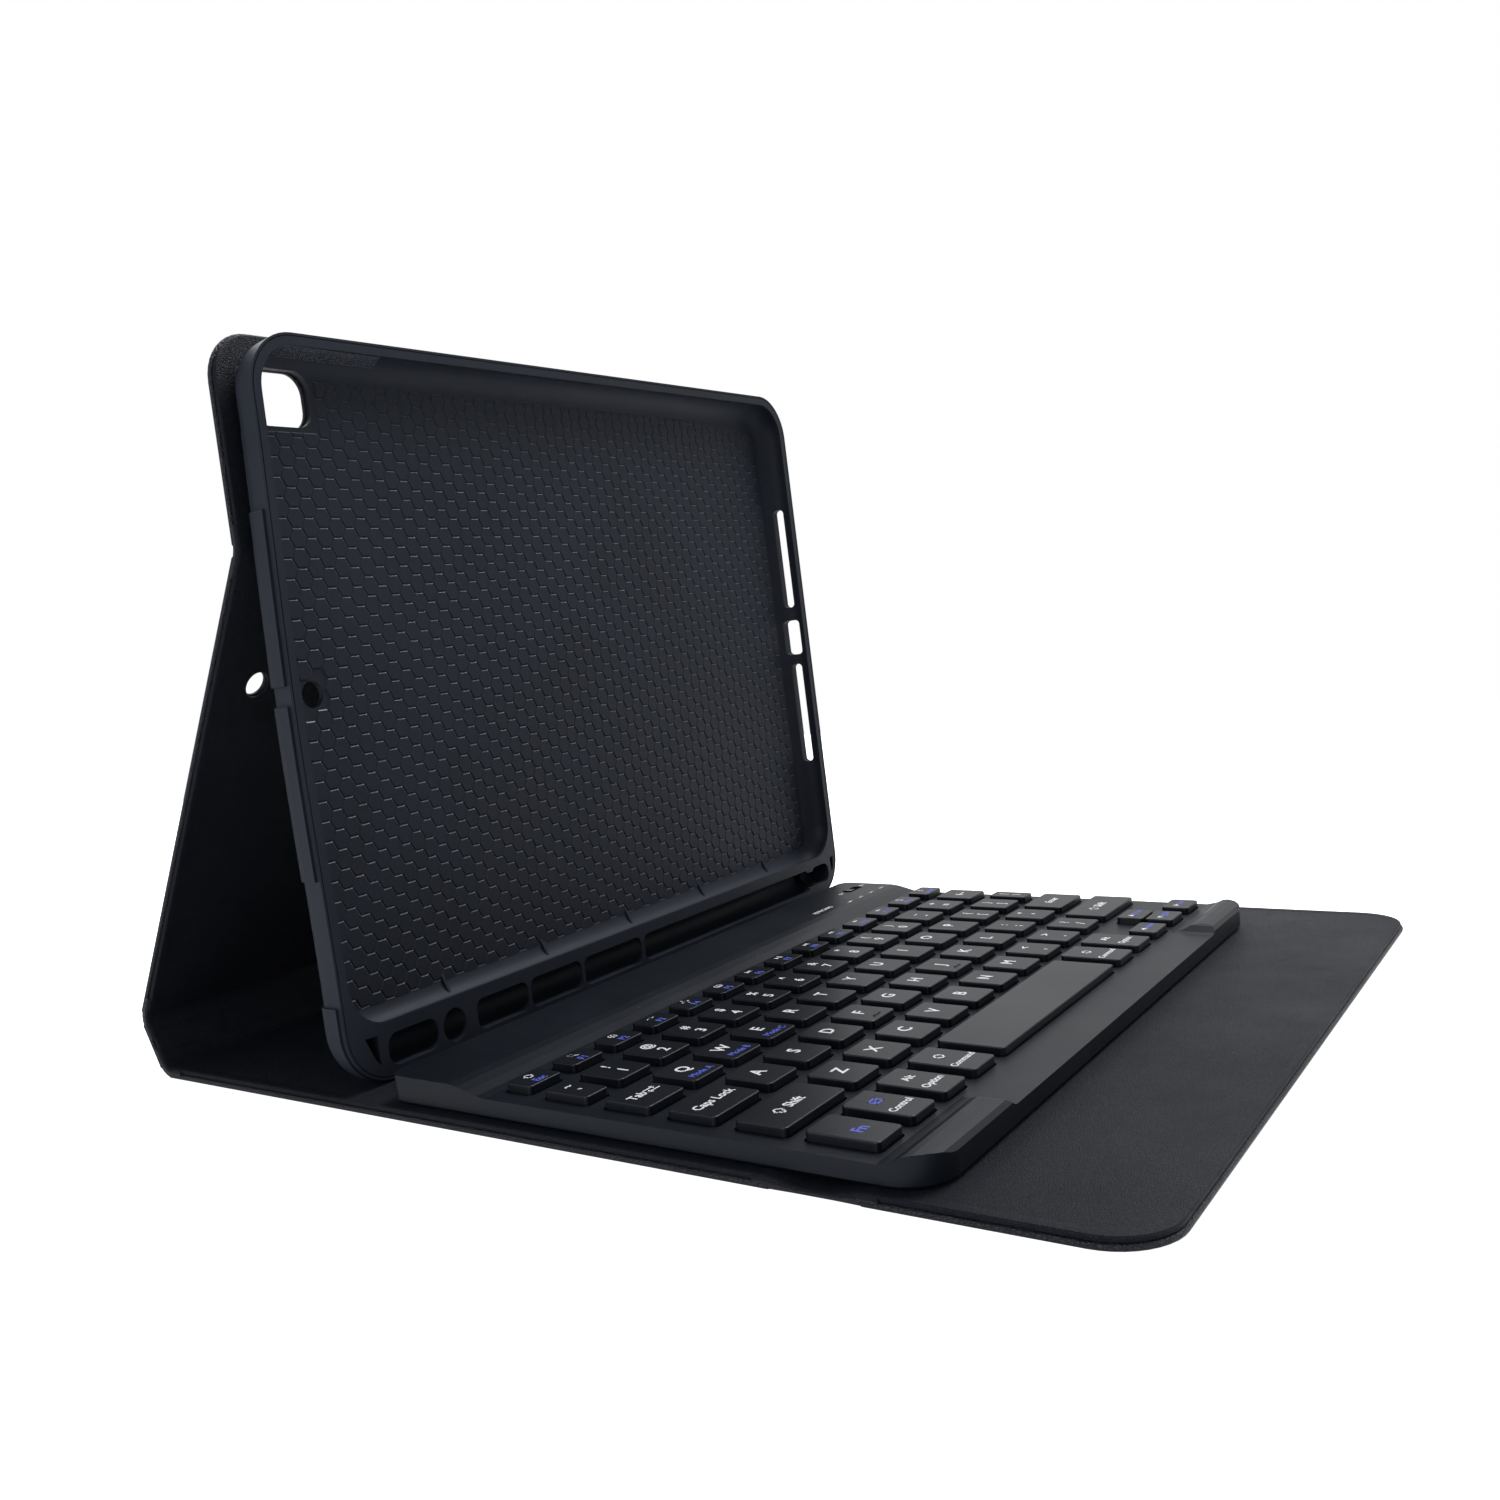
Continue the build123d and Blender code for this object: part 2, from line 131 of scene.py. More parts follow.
def ramp(nt, source, stops):
    r = node(nt, "ShaderNodeValToRGB")
    e = r.color_ramp.elements
    while len(e) < len(stops):
        e.new(0.5)
    for i, (p, c) in enumerate(stops):
        e[i].position = p
        e[i].color = (*c, 1)
    nt.links.new(source, r.inputs["Fac"])
    return r.outputs["Color"]


def coords(nt):
    return node(nt, "ShaderNodeTexCoord").outputs["Object"]


def noise_tex(nt, vec, scale, detail=4.0, rough=0.55):
    n = node(nt, "ShaderNodeTexNoise", Scale=scale, Detail=detail, Roughness=rough)
    nt.links.new(vec, n.inputs["Vector"])
    return n.outputs["Fac"]


def math_node(nt, op, a, b):
    n = node(nt, "ShaderNodeMath", operation=op)
    for i, v in enumerate((a, b)):
        if isinstance(v, (int, float)):
            n.inputs[i].default_value = v
        else:
            nt.links.new(v, n.inputs[i])
    return n.outputs[0]


def bump(nt, bsdf, height, distance, strength):
    n = node(nt, "ShaderNodeBump", Strength=strength, Distance=distance)
    nt.links.new(height, n.inputs["Height"])
    nt.links.new(n.outputs["Normal"], bsdf.inputs["Normal"])


def set_roughness(nt, bsdf, source, at_low, at_high):
    """Roughness that follows a noise between two values."""
    n = node(nt, "ShaderNodeMapRange")
    n.inputs["From Min"].default_value = 0.3
    n.inputs["From Max"].default_value = 0.7
    n.inputs["To Min"].default_value = at_low
    n.inputs["To Max"].default_value = at_high
    nt.links.new(source, n.inputs["Value"])
    nt.links.new(n.outputs["Result"], bsdf.inputs["Roughness"])


def leather(name, dark, light, grain, depth, rough_low, rough_high, wear=0.0, patch=9.0, specular=0.5):
    """Grained leathercloth: cells with creases between them, fine noise, soft worn patches and painted shade
    that darkens the creases.
    """
    m, nt, b = new_material(name, specular=specular)
    v = coords(nt)
    cells = node(nt, "ShaderNodeTexVoronoi", feature="DISTANCE_TO_EDGE", Scale=grain, Randomness=1.0)
    nt.links.new(v, cells.inputs["Vector"])
    crease = ramp(nt, cells.outputs["Distance"], [(0.0, BLACK), (0.16, FULL)])
    fine = noise_tex(nt, v, grain * 2.6, 3)
    height = math_node(nt, "ADD", math_node(nt, "MULTIPLY", crease, 0.7),
                       math_node(nt, "MULTIPLY", fine, 0.6))
    large = noise_tex(nt, v, patch, 5, 0.6)
    worn = noise_tex(nt, v, patch * 3.3, 6, 0.7)
    mix = math_node(nt, "ADD", math_node(nt, "MULTIPLY", large, 0.6), math_node(nt, "MULTIPLY", worn, 0.4))
    middle = tuple((d + l) / 2 for d, l in zip(dark, light))
    tone = ramp(nt, mix, [(0.36, dark), (0.52, middle), (0.66 + (0.1 - wear), light)])
    # Painted shade: the colour is darkened where the grain is low, mostly in its creases.
    crease_painted_shade = node(nt, "ShaderNodeMix", data_type="RGBA", blend_type="MULTIPLY")
    crease_painted_shade.inputs[0].default_value = 0.5
    nt.links.new(tone, crease_painted_shade.inputs[6])
    nt.links.new(ramp(nt, height, [(0.25, CREASE_PAINTED_SHADE), (0.9, FULL)]), crease_painted_shade.inputs[7])
    nt.links.new(crease_painted_shade.outputs[2], b.inputs["Base Color"])
    set_roughness(nt, b, mix, rough_high, rough_low)
    bump(nt, b, height, depth, 0.9)
    return m


def plastic(name, dark, light, scale, depth, rough_low, rough_high, specks=0.0, specular=0.5):
    """Moulded plastic: spark-eroded texture, faint mottling and a little dust."""
    m, nt, b = new_material(name, specular=specular)
    v = coords(nt)
    fine = noise_tex(nt, v, scale, 2)
    broad = noise_tex(nt, v, 22.0, 5, 0.65)
    tone = ramp(nt, broad, [(0.35, dark), (0.65, light)])
    if specks > 0:
        dots = node(nt, "ShaderNodeTexVoronoi", feature="F1", Scale=260.0, Randomness=1.0)
        nt.links.new(v, dots.inputs["Vector"])
        spot = ramp(nt, dots.outputs["Distance"], [(0.03, FULL), (0.055, BLACK)])
        rare = math_node(nt, "GREATER_THAN", noise_tex(nt, v, 60.0, 1), 0.62)
        dust = node(nt, "ShaderNodeMix", data_type="RGBA")
        nt.links.new(math_node(nt, "MULTIPLY", math_node(nt, "MULTIPLY", spot, rare), specks), dust.inputs[0])
        nt.links.new(tone, dust.inputs[6])
        dust.inputs[7].default_value = DUST
        nt.links.new(dust.outputs[2], b.inputs["Base Color"])
    else:
        nt.links.new(tone, b.inputs["Base Color"])
    set_roughness(nt, b, broad, rough_low, rough_high)
    bump(nt, b, fine, depth, 0.8)
    return m


def metal(name, colour, rough):
    m, nt, b = new_material(name, rough)
    b.inputs["Metallic"].default_value = 1.0
    grain = noise_tex(nt, coords(nt), 900.0, 3)
    dull = tuple(c * 0.85 for c in colour)
    nt.links.new(ramp(nt, grain, [(0.3, dull), (0.7, colour)]), b.inputs["Base Color"])
    return m


def ink(name, colour):
    m, nt, b = new_material(name, 0.45, 0.3)
    wear = noise_tex(nt, coords(nt), 2600.0, 3)
    worn = tuple(c * 0.72 for c in colour)
    nt.links.new(ramp(nt, wear, [(0.28, worn), (0.5, colour)]), b.inputs["Base Color"])
    return m


LEATHER = leather("cover_leathercloth", (0.0010, 0.0016, 0.0030), (0.0026, 0.0040, 0.0070), 950.0, 0.00026,
                  0.38, 0.56, 0.0, 9.0, 0.34)
LINING = leather("cover_lining_cloth", (0.0010, 0.0019, 0.0044), (0.0040, 0.0054, 0.0092), 1900.0, 0.00020,
                 0.44, 0.64, 0.06, 14.0, 0.175)
SOFT = plastic("tray_soft_plastic", (0.0105, 0.0130, 0.0190), (0.0150, 0.0180, 0.0255), 3800.0, 0.00002,
               0.46, 0.60, 0.0, 0.13)
SHELL = plastic("keyboard_casing", (0.0014, 0.0026, 0.0046), (0.0026, 0.0042, 0.0070), 5200.0, 0.000022,
                0.36, 0.46, 0.5, 0.20)
KEYS = plastic("key_caps", (0.0009, 0.0018, 0.0034), (0.0020, 0.0030, 0.0050), 5200.0, 0.00001,
               0.32, 0.40, 0.0, 0.30)
WHITE = ink("legend_white", (0.80, 0.81, 0.83))
BLUE = ink("legend_blue", (0.10, 0.13, 0.62))
SMOKE = plastic("indicator_window", (0.0006, 0.0007, 0.0010), (0.0012, 0.0013, 0.0018), 900.0, 0.000004,
                0.22, 0.32, 0.0, 0.12)
STEEL = metal("bright_steel", (0.62, 0.62, 0.63), 0.32)
BOARD = plastic("grey_board", (0.22, 0.21, 0.19), (0.32, 0.30, 0.27), 2200.0, 0.00005, 0.7, 0.85)
CIRCUIT = plastic("circuit_laminate", (0.01, 0.09, 0.035), (0.02, 0.14, 0.05), 700.0, 0.00002, 0.35, 0.5)
FILM = plastic("clear_film", (0.45, 0.45, 0.42), (0.6, 0.6, 0.57), 800.0, 0.00001, 0.3, 0.45)
SILICONE = plastic("dome_silicone", (0.55, 0.55, 0.55), (0.68, 0.68, 0.68), 900.0, 0.00002, 0.5, 0.65)
TAPE = plastic("black_tape", (0.003, 0.0036, 0.005), (0.006, 0.007, 0.009), 1400.0, 0.00003,
               0.6, 0.75, 0.0, 0.2)

BY_SLOT = {
    "cover_leather": LEATHER, "cover_lining": LINING, "board": BOARD, "circuit_board": CIRCUIT,
    "magnet": STEEL, "adhesive": TAPE, "tray_plastic": SOFT, "key_plastic": KEYS, "case_plastic": SHELL,
    "plate_metal": STEEL, "membrane_film": FILM, "silicone": SILICONE, "battery_pouch": STEEL,
    "socket_metal": STEEL, "light_guide": SMOKE, "switch_plastic": SMOKE,
}
for entry in frame["record"]["subparts"]:
    part = frame["nodes"][entry["node"]]
    part.data.materials.clear()
    part.data.materials.append(BY_SLOT[entry["material_slot"]])


# ---------------------------------------------------------------- mesh helpers
def add_object(name, mesh, materials):
    o = bpy.data.objects.new(name, mesh)
    bpy.context.scene.collection.objects.link(o)
    for m in materials:
        mesh.materials.append(m)
    return o


def rounded_outline(x0, x1, y0, y1, near, far, steps=10):
    """Closed outline, counter-clockwise, with separate radii at the two ends."""
    pts = []
    corners = [(x1 - near, y0 + near, near, -90), (x1 - far, y1 - far, far, 0),
               (x0 + far, y1 - far, far, 90), (x0 + near, y0 + near, near, 180)]
    for cx, cy, r, start in corners:
        for i in range(steps + 1):
            a = math.radians(start + 90.0 * i / steps)
            pts.append((cx + r * math.cos(a), cy + r * math.sin(a)))
    return pts


def split_edges(o, degrees):
    """Keeps edges sharper than an angle crisp."""
    modifier = o.modifiers.new("edges", "EDGE_SPLIT")
    modifier.split_angle = math.radians(degrees)


def outline_slab(name, outlines, z0, z1, edge, place, materials, segments=3):
    """Flat piece cut to an outline, with holes, and rounded all along its edges."""
    c = bpy.data.curves.new(name + "_outline", "CURVE")
    c.dimensions = "2D"
    c.fill_mode = "BOTH"
    c.extrude = max((z1 - z0) / 2 - edge, 0)
    c.bevel_depth = edge
    c.offset = -edge
    c.bevel_resolution = segments
    for outline in outlines:
        s = c.splines.new("POLY")
        s.points.add(len(outline) - 1)
        for p, (x, y) in zip(s.points, outline):
            p.co = (x, y, 0, 1)
        s.use_cyclic_u = True
    o = bpy.data.objects.new(name + "_curve", c)
    bpy.context.scene.collection.objects.link(o)
    bpy.context.view_layer.update()
    mesh = bpy.data.meshes.new_from_object(o.evaluated_get(bpy.context.evaluated_depsgraph_get()))
    bpy.data.objects.remove(o)
    bpy.data.curves.remove(c)
    mesh.name = name
    mesh.materials.clear()
    mesh.transform(place @ Matrix.Translation((0, 0, (z0 + z1) / 2)))
    bm = bmesh.new()
    bm.from_mesh(mesh)
    bmesh.ops.remove_doubles(bm, verts=bm.verts, dist=1e-6)
    bmesh.ops.recalc_face_normals(bm, faces=bm.faces)
    bm.to_mesh(mesh)
    bm.free()
    mesh.shade_smooth()
    o = add_object(name, mesh, materials)
    split_edges(o, 42)
    return o


def mesh_piece(name, verts, faces, materials, smooth=True, indices=None):
    mesh = bpy.data.meshes.new(name)
    mesh.from_pydata([tuple(v) for v in verts], [], faces)
    mesh.update()
    if smooth:
        mesh.shade_smooth()
    o = add_object(name, mesh, materials)
    if indices:
        for p, i in zip(mesh.polygons, indices):
            p.material_index = i
    return o


# ---------------------------------------------------------------- cover panels
SKIN_EDGE = 0.00055
LINING_EDGE = 0.0005
LEAST_CORNER = 0.0005
BAND_OUTER = 0.0008     # the pressed band runs between these two distances from the panel's edge
BAND_INNER = 0.0036


def cover_panel(panel, body, y0, y1, near, far, holes=()):
    """Outer leathercloth, lining and the pressed edge band of one panel."""
    place = FRAMES[panel]

    def outline(inset):
        return rounded_outline(-HALF + inset, HALF - inset, y0 + inset, y1 - inset,
                               max(near - inset, LEAST_CORNER), max(far - inset, LEAST_CORNER))

    def layer(inset, grow):
        return [outline(inset)] + [hole(grow) for hole in holes]

    skin = outline_slab(panel + "_leather", layer(0, 0), -THICK, 0.00006, SKIN_EDGE, place,
                        [LEATHER])
    lining = outline_slab(panel + "_lining_cloth", layer(SKIN_EDGE, 0.0003), -0.00004, THICK, LINING_EDGE,
                          place, [LINING])
    pieces = [skin, lining]
    if panel in ("flap", "base", "lower_back"):
        band = [outline(BAND_OUTER), outline(BAND_INNER)]
        pieces.append(outline_slab(panel + "_edge_band", band, THICK - 0.0003, THICK + 0.00004, 0.00008,
                                   place, [LINING], 2))
    for piece in pieces:
        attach(piece, body)
    prefix = "front" if panel == "base" else panel
    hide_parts(prefix + "_skin")
    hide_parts(prefix + "_lining")


LENS_LEFT, LENS_RIGHT = -0.1215, -0.101
LENS_BOTTOM, LENS_TOP = 0.03125, 0.04585
LENS_CORNER = 0.0055
MIC_X, MIC_Y, MIC_RADIUS = -0.115, 0.1014, 0.0033


def lens_hole(grow):
    """Camera window of the upper back, clockwise."""
    return rounded_outline(LENS_LEFT - grow, LENS_RIGHT + grow, LENS_BOTTOM - grow, LENS_TOP + grow,
                           LENS_CORNER, LENS_CORNER)[::-1]


def mic_hole(grow):
    """Microphone hole of the lower back, clockwise."""
    r = MIC_RADIUS + grow
    turns = [-i * math.pi / 16 for i in range(32)]
    return [(MIC_X + r * math.cos(a), MIC_Y + r * math.sin(a)) for a in turns]


cover_panel("flap", "flap", 0, LENGTH["flap"], FLAP_CORNER, SQUARE_CORNER)
cover_panel("base", "base", 0, LENGTH["base"] - GAP, SQUARE_CORNER, SQUARE_CORNER)
cover_panel("spine", "spine", GAP, LENGTH["spine"] - GAP, SQUARE_CORNER, SQUARE_CORNER)
cover_panel("lower_back", "lower_back", GAP, LENGTH["lower_back"] - GAP, SQUARE_CORNER, SQUARE_CORNER,
            [mic_hole])
cover_panel("upper_back", "upper_back", GAP, LENGTH["upper_back"], SQUARE_CORNER, BACK_CORNER, [lens_hole])


def strip_columns(half, count):
    """Positions across the cover with a factor that rounds the two ends of a strip."""
    inner = half - 0.0011
    tails = [(0.0, 0.25), (0.0001, 0.5), (0.00028, 0.74), (0.00055, 0.92), (0.0011, 1.0)]
    left = [(-half + d, f) for d, f in tails]
    middle = [(-inner + 2 * inner * i / count, 1.0) for i in range(1, count)]
    return left + middle + [(-x, f) for x, f in reversed(left)]


def strip_mesh(columns, profile):
    """Closed strip from a profile that gives each column's points on its outer and inner side."""
    verts = []
    for x, factor in columns:
        sides = profile(x, factor)
        for side in sides:
            verts.extend(side)
    rows = len(sides[0])
    stride = rows * 2
    faces = []
    index = []
    for c in range(len(columns) - 1):
        a = c * stride
        b = a + stride
        for i in range(rows - 1):
            faces.append((a + i, a + i + 1, b + i + 1, b + i))
            index.append(0)
            faces.append((a + rows + i, b + rows + i, b + rows + i + 1, a + rows + i + 1))
            index.append(1)
        for i in (0, rows - 1):
            quad = (a + i, b + i, b + rows + i, a + rows + i)
            faces.append(quad if i == 0 else quad[::-1])
            index.append(0)
    for c in (0, len(columns) - 1):
        a = c * stride
        for i in range(rows - 1):
            quad = (a + i, a + rows + i, a + rows + i + 1, a + i + 1)
            faces.append(quad if c == 0 else quad[::-1])
            index.append(0)
    return verts, faces, index


def smooth(k):
    """Eased step from 0 to 1."""
    k = min(max(k, 0.0), 1.0)
    return k * k * (3 - 2 * k)


STRIP_HALF = HALF - 0.00004
FOLD_REACH = 0.0068     # from a fold's axis to the strip's end, under the panel's face
FOLD_TURN = 0.0040      # from a fold's axis to where the strip starts to bend
FOLD_WAIST = 0.00098    # half thickness of the strip on the inner side of its bend


def fold_strip(name, origin, slope_a, slope_b, replaced):
    """Skin and lining bonded together round a fold; the ends run in under the panels' faces."""
    ta = Vector((0, math.cos(math.radians(slope_a)), math.sin(math.radians(slope_a))))
    tb = Vector((0, math.cos(math.radians(slope_b)), math.sin(math.radians(slope_b))))
    count = 16
    flat = 7
    path = []
    for i in range(flat):
        path.append(origin - ta * (FOLD_REACH - (FOLD_REACH - FOLD_TURN) * i / flat))
    for i in range(count + 1):
        t = i / count
        path.append(origin + ta * (-FOLD_TURN * (1 - t) ** 2) + tb * (FOLD_TURN * t ** 2))
    for i in range(1, flat + 1):
        path.append(origin + tb * (FOLD_TURN + (FOLD_REACH - FOLD_TURN) * i / flat))
    length = [0.0]
    for p, q in zip(path, path[1:]):
        length.append(length[-1] + (q - p).length)
    middle = length[-1] / 2
    bend = math.radians(slope_b - slope_a)
    sag = FOLD_TURN * math.sin(abs(bend) / 2) / 2
    inner_side = 1 if bend > 0 else -1
    rows = len(path)

    def profile(x, factor):
        sides = []
        for side in (-1, 1):
            line = []
            for i, p in enumerate(path):
                a = path[max(i - 1, 0)]
                b = path[min(i + 1, rows - 1)]
                t = (b - a).normalized()
                n = Vector((0, -t.z, t.y))
                away = abs(length[i] - middle)
                k = smooth(away / 0.0050)
                waist = FOLD_WAIST if side == inner_side else THICK + sag * 0.5
                half = waist + (THICK + 0.00005 - waist) * k
                half -= 0.00015 * smooth((away - 0.0048) / 0.0018)
                ripple = noise.noise(Vector((x * 45, length[i] * 200, side * 3.1))) * 0.00006 * (1 - k)
                line.append(Vector((x, 0, 0)) + p + n * side * (half * factor + ripple))
            sides.append(line)
        return sides

    verts, faces, index = strip_mesh(strip_columns(STRIP_HALF, 84), profile)
    o = mesh_piece(name, verts, faces, [LEATHER, LINING], True, index)
    split_edges(o, 60)
    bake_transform(o)
    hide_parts(replaced)


fold_strip("front_fold", spine_axis, SLOPE["base"], SLOPE["spine"], "front_crease")
fold_strip("spine_fold_strip", lower_axis, SLOPE["spine"], SLOPE["lower_back"],
           "spine_crease")
fold_strip("back_fold", upper_axis, SLOPE["lower_back"], SLOPE["upper_back"],
           "back_crease")


WRAP_FRONT, WRAP_REAR = -0.0040, 0.0240
WRAP_MIDDLE = 0.010
WRAP_WAIST = 0.00066    # half thickness where there is no board


def wrap_strip():
    """The soft strip between the front cover and the flap, with no board in it."""
    rows = 30
    place = FRAMES["wrap"]

    def profile(x, factor):
        sides = []
        for side in (-1, 1):
            line = []
            for r in range(rows + 1):
                y = WRAP_FRONT + (WRAP_REAR - WRAP_FRONT) * r / rows
                away = abs(y - WRAP_MIDDLE)
                k = smooth((away - 0.0022) / 0.0095)
                half = WRAP_WAIST + (THICK + 0.00004 - WRAP_WAIST) * k
                half -= 0.00012 * smooth((away - 0.0120) / 0.0018)
                centre = -0.00052 * (1 - k)
                wave = noise.noise(Vector((x * 20, y * 70, 0.7))) * 0.00013 * (1 - k)
                low = noise.noise(Vector((x * 7, y * 40, 5.0))) * 0.0001 * (1 - k)
                z = centre + side * half * factor + (wave + low if side > 0 else 0)
                line.append(place @ Vector((x, y, z)))
            sides.append(line)
        return sides

    return strip_mesh(strip_columns(STRIP_HALF, 104), profile)


def split_wrap():
    """Cuts the strip in two pieces: a front half beside the flap and a rear half beside the front cover."""
    verts, faces, index = wrap_strip()
    middle = (FRAMES["wrap"] @ Vector((0, WRAP_MIDDLE, 0))).y
    for name, keep, a, b, s, e in (
        ("wrap_front_strip", lambda y: y < middle, "wrap", "flap", 0.0035, -0.0032),
        ("wrap_rear_strip", lambda y: y > middle, "base", "wrap", 0.0232, 0.0165),
    ):
        chosen = []
        kinds = []
        for f, k in zip(faces, index):
            if keep(sum(verts[i].y for i in f) / len(f)):
                chosen.append(f)
                kinds.append(k)
        used = sorted({i for f in chosen for i in f})
        number = {v: i for i, v in enumerate(used)}
        o = mesh_piece(name, [verts[i] for i in used], [tuple(number[i] for i in f) for f in chosen],
                       [LEATHER, LINING], True, kinds)
        split_edges(o, 55)
        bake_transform(o)
        if name == "wrap_rear_strip":
            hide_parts("wrap_web")


split_wrap()


# ---------------------------------------------------------------- tray details
def clip_polygon(points, nx, ny, limit):
    """Keeps the part of a polygon where nx * x + ny * y is at most limit."""
    out = []
    for i, p in enumerate(points):
        q = points[(i + 1) % len(points)]
        dp = nx * p.x + ny * p.y - limit
        dq = nx * q.x + ny * q.y - limit
        if dp <= 0:
            out.append(p)
        if dp * dq < 0:
            out.append(p + (q - p) * (dp / (dp - dq)))
    return out


def inset_polygon(points, distance):
    """Moves every side of a convex counter-clockwise polygon inwards."""
    lines = []
    for i, p in enumerate(points):
        q = points[(i + 1) % len(points)]
        d = q - p
        if d.length < 1e-5:
            continue
        n = Vector((d.y, -d.x)).normalized()
        lines.append((n.x, n.y, n.x * p.x + n.y * p.y - distance))
    out = list(points)
    for line in lines:
        out = clip_polygon(out, *line)
        if len(out) < 3:
            return []
    return out


# Lit copies of the tray plastic, picked by which way a tile face turns: a painted highlight and a painted
# half light.
TILE_PAINTED_HIGHLIGHT = plastic("tray_tile_painted_highlight", (0.050, 0.056, 0.070), (0.080, 0.088, 0.105), 3800.0, 0.00002,
                    0.40, 0.55, 0.0, 0.3)
TILE_PAINTED_HALF_LIGHT = plastic("tray_tile_painted_half_light", (0.019, 0.022, 0.030), (0.027, 0.031, 0.041), 3800.0, 0.00002,
                    0.46, 0.60, 0.0, 0.15)


COLUMN_PITCH = 0.0045
ROW_PITCH = 0.0052
TILE_LEVELS = ((0.00003, 0.0), (0.00034, 0.00028))      # inset and height of each ring of a tile
TILE_LEAN = 0.00005     # how much a tile's lower edge stands proud of its middle
FLOOR_Z = 0.0015
FLOOR_LEFT, FLOOR_RIGHT = 0.1252, 0.1192                # distances from the tray's middle
FLOOR_BOTTOM, FLOOR_TOP = 0.0127, 0.1812
FLOOR_BOW = 0.0012
FLOOR_CORNER = 0.0048
WINDOW_RIGHT, WINDOW_BOTTOM = -0.0998, 0.1676           # bare floor round the camera cut-out
TRAY_MIC = (-0.1146, 0.1003)
DIAGONAL = 0.7071


def floor_limits(cx, cy, side, half_row):
    """Half planes, as normal and distance, that keep a tile at (cx, cy) inside the pocket's floor."""
    bow = FLOOR_BOW * max(0, 1 - ((cy - 0.1) / 0.075) ** 2)
    limits = [(-1, 0, FLOOR_LEFT + bow), (1, 0, FLOOR_RIGHT), (0, -1, -FLOOR_BOTTOM),
              (0, 1, FLOOR_TOP - 0.10 * max(cx - 0.08, 0))]
    for sx, x_side in ((-1, FLOOR_LEFT), (1, FLOOR_RIGHT)):
        for sy, y_side in ((-1, FLOOR_BOTTOM), (1, FLOOR_TOP)):
            limits.append((sx * DIAGONAL, sy * DIAGONAL, DIAGONAL * (x_side + sy * y_side) - FLOOR_CORNER))
    if cy > WINDOW_BOTTOM and cx < WINDOW_RIGHT:
        low = cy < WINDOW_BOTTOM + half_row
        limits.append((0, 1, WINDOW_BOTTOM) if low else (-1, 0, -WINDOW_RIGHT))
    elif cy > WINDOW_BOTTOM - half_row and cx < WINDOW_RIGHT:
        limits.append((0, 1, WINDOW_BOTTOM))
    elif cy > WINDOW_BOTTOM and cx < WINDOW_RIGHT + side:
        limits.append((-1, 0, -WINDOW_RIGHT))
    return limits


def hexagon_floor():
    """Low hexagonal tiles that cover the pocket's floor, with a painted highlight on the chamfers that face
    up and to the right and painted half light on the sideways ones.
    """
    side = COLUMN_PITCH / 1.5
    half_row = ROW_PITCH / 2
    tip = half_row / math.sin(math.pi / 3)
    x_anchor, y_anchor = -0.11207, 0.15340 - half_row
    verts = []
    faces = []
    for i in range(-3, 56):
        for j in range(-28, 8):
            cx = x_anchor + i * COLUMN_PITCH
            cy = y_anchor + (j + 0.5 * (i % 2)) * ROW_PITCH
            if (Vector((cx, cy)) - Vector(TRAY_MIC)).length < 0.0060:
                continue
            turns = [k * math.pi / 3 for k in range(6)]
            tile = [Vector((cx + side * math.cos(a), cy + tip * math.sin(a))) for a in turns]
            for nx, ny, limit in floor_limits(cx, cy, side, half_row):
                tile = clip_polygon(tile, nx, ny, limit)
            if len(tile) < 3:
                continue
            rings = [inset_polygon(tile, inset) for inset, z in TILE_LEVELS]
            n = len(rings[0])
            if n < 3 or any(len(r) != n for r in rings):
                continue
            base = len(verts)
            for points, (inset, z) in zip(rings, TILE_LEVELS):
                for q in points:
                    lean = TILE_LEAN * (cy - q.y) / half_row if z > 0 else 0
                    verts.append(TRAY @ Vector((q.x, q.y, FLOOR_Z + z + lean)))
            for k in range(n):
                a = base + k
                b = base + (k + 1) % n
                faces.append((a, b, b + n, a + n))
            faces.append(tuple(base + n + k for k in range(n)))
    o = mesh_piece("tray_honeycomb", verts, faces, [SOFT, TILE_PAINTED_HIGHLIGHT, TILE_PAINTED_HALF_LIGHT], False)
    # Painted light: faces turned up and to the right get the painted highlight, sideways faces the painted
    # half light, tile tops and down-facing faces keep the tray plastic.
    for face in o.data.polygons:
        if abs(face.normal.y) < 0.93:
            toward_light = 0.5 * face.normal.x + 0.87 * face.normal.z
            face.material_index = 1 if toward_light > 0.3 else 2 if toward_light > -0.3 else 0
    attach(o, "upper_back")


hexagon_floor()


GRIP = plastic("button_grip_patch", (0.034, 0.038, 0.047), (0.060, 0.065, 0.078), 2600.0, 0.00003, 0.5, 0.7)


COVE = 0.0070           # radius between the pocket's floor and its top wall
COVE_Y, COVE_Z = 0.1814, 0.0084
GRIP_LEFT = -0.1145
GRIP_STEP_X, GRIP_STEP_Z = 0.00078, 0.00066


def button_grip():
    """Pimpled patch on the curved top wall where the tablet's volume buttons press."""
    verts = []
    faces = []
    for i in range(46):
        for j in range(9):
            angle = (0.0004 + j * GRIP_STEP_Z + random.uniform(-1, 1) * 0.00010) / COVE
            x = GRIP_LEFT + i * GRIP_STEP_X + random.uniform(-1, 1) * 0.00012
            out = Vector((0, -math.cos(angle), math.sin(angle)))
            along = Vector((0, -math.sin(angle), -math.cos(angle)))
            foot = Vector((x, COVE_Y, COVE_Z)) - out * (COVE - 0.00002)
            r = random.uniform(0.00026, 0.00040)
            base = len(verts)
            for k in range(6):
                a = k * math.pi / 3
                verts.append(TRAY @ (foot + Vector((r * math.cos(a), 0, 0)) + along * r * math.sin(a)))
            verts.append(TRAY @ (foot + out * random.uniform(0.0002, 0.0004)))
            for k in range(6):
                faces.append((base + k, base + (k + 1) % 6, base + 6))
    o = mesh_piece("button_grip", verts, faces, [GRIP], False)
    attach(o, "upper_back")


button_grip()


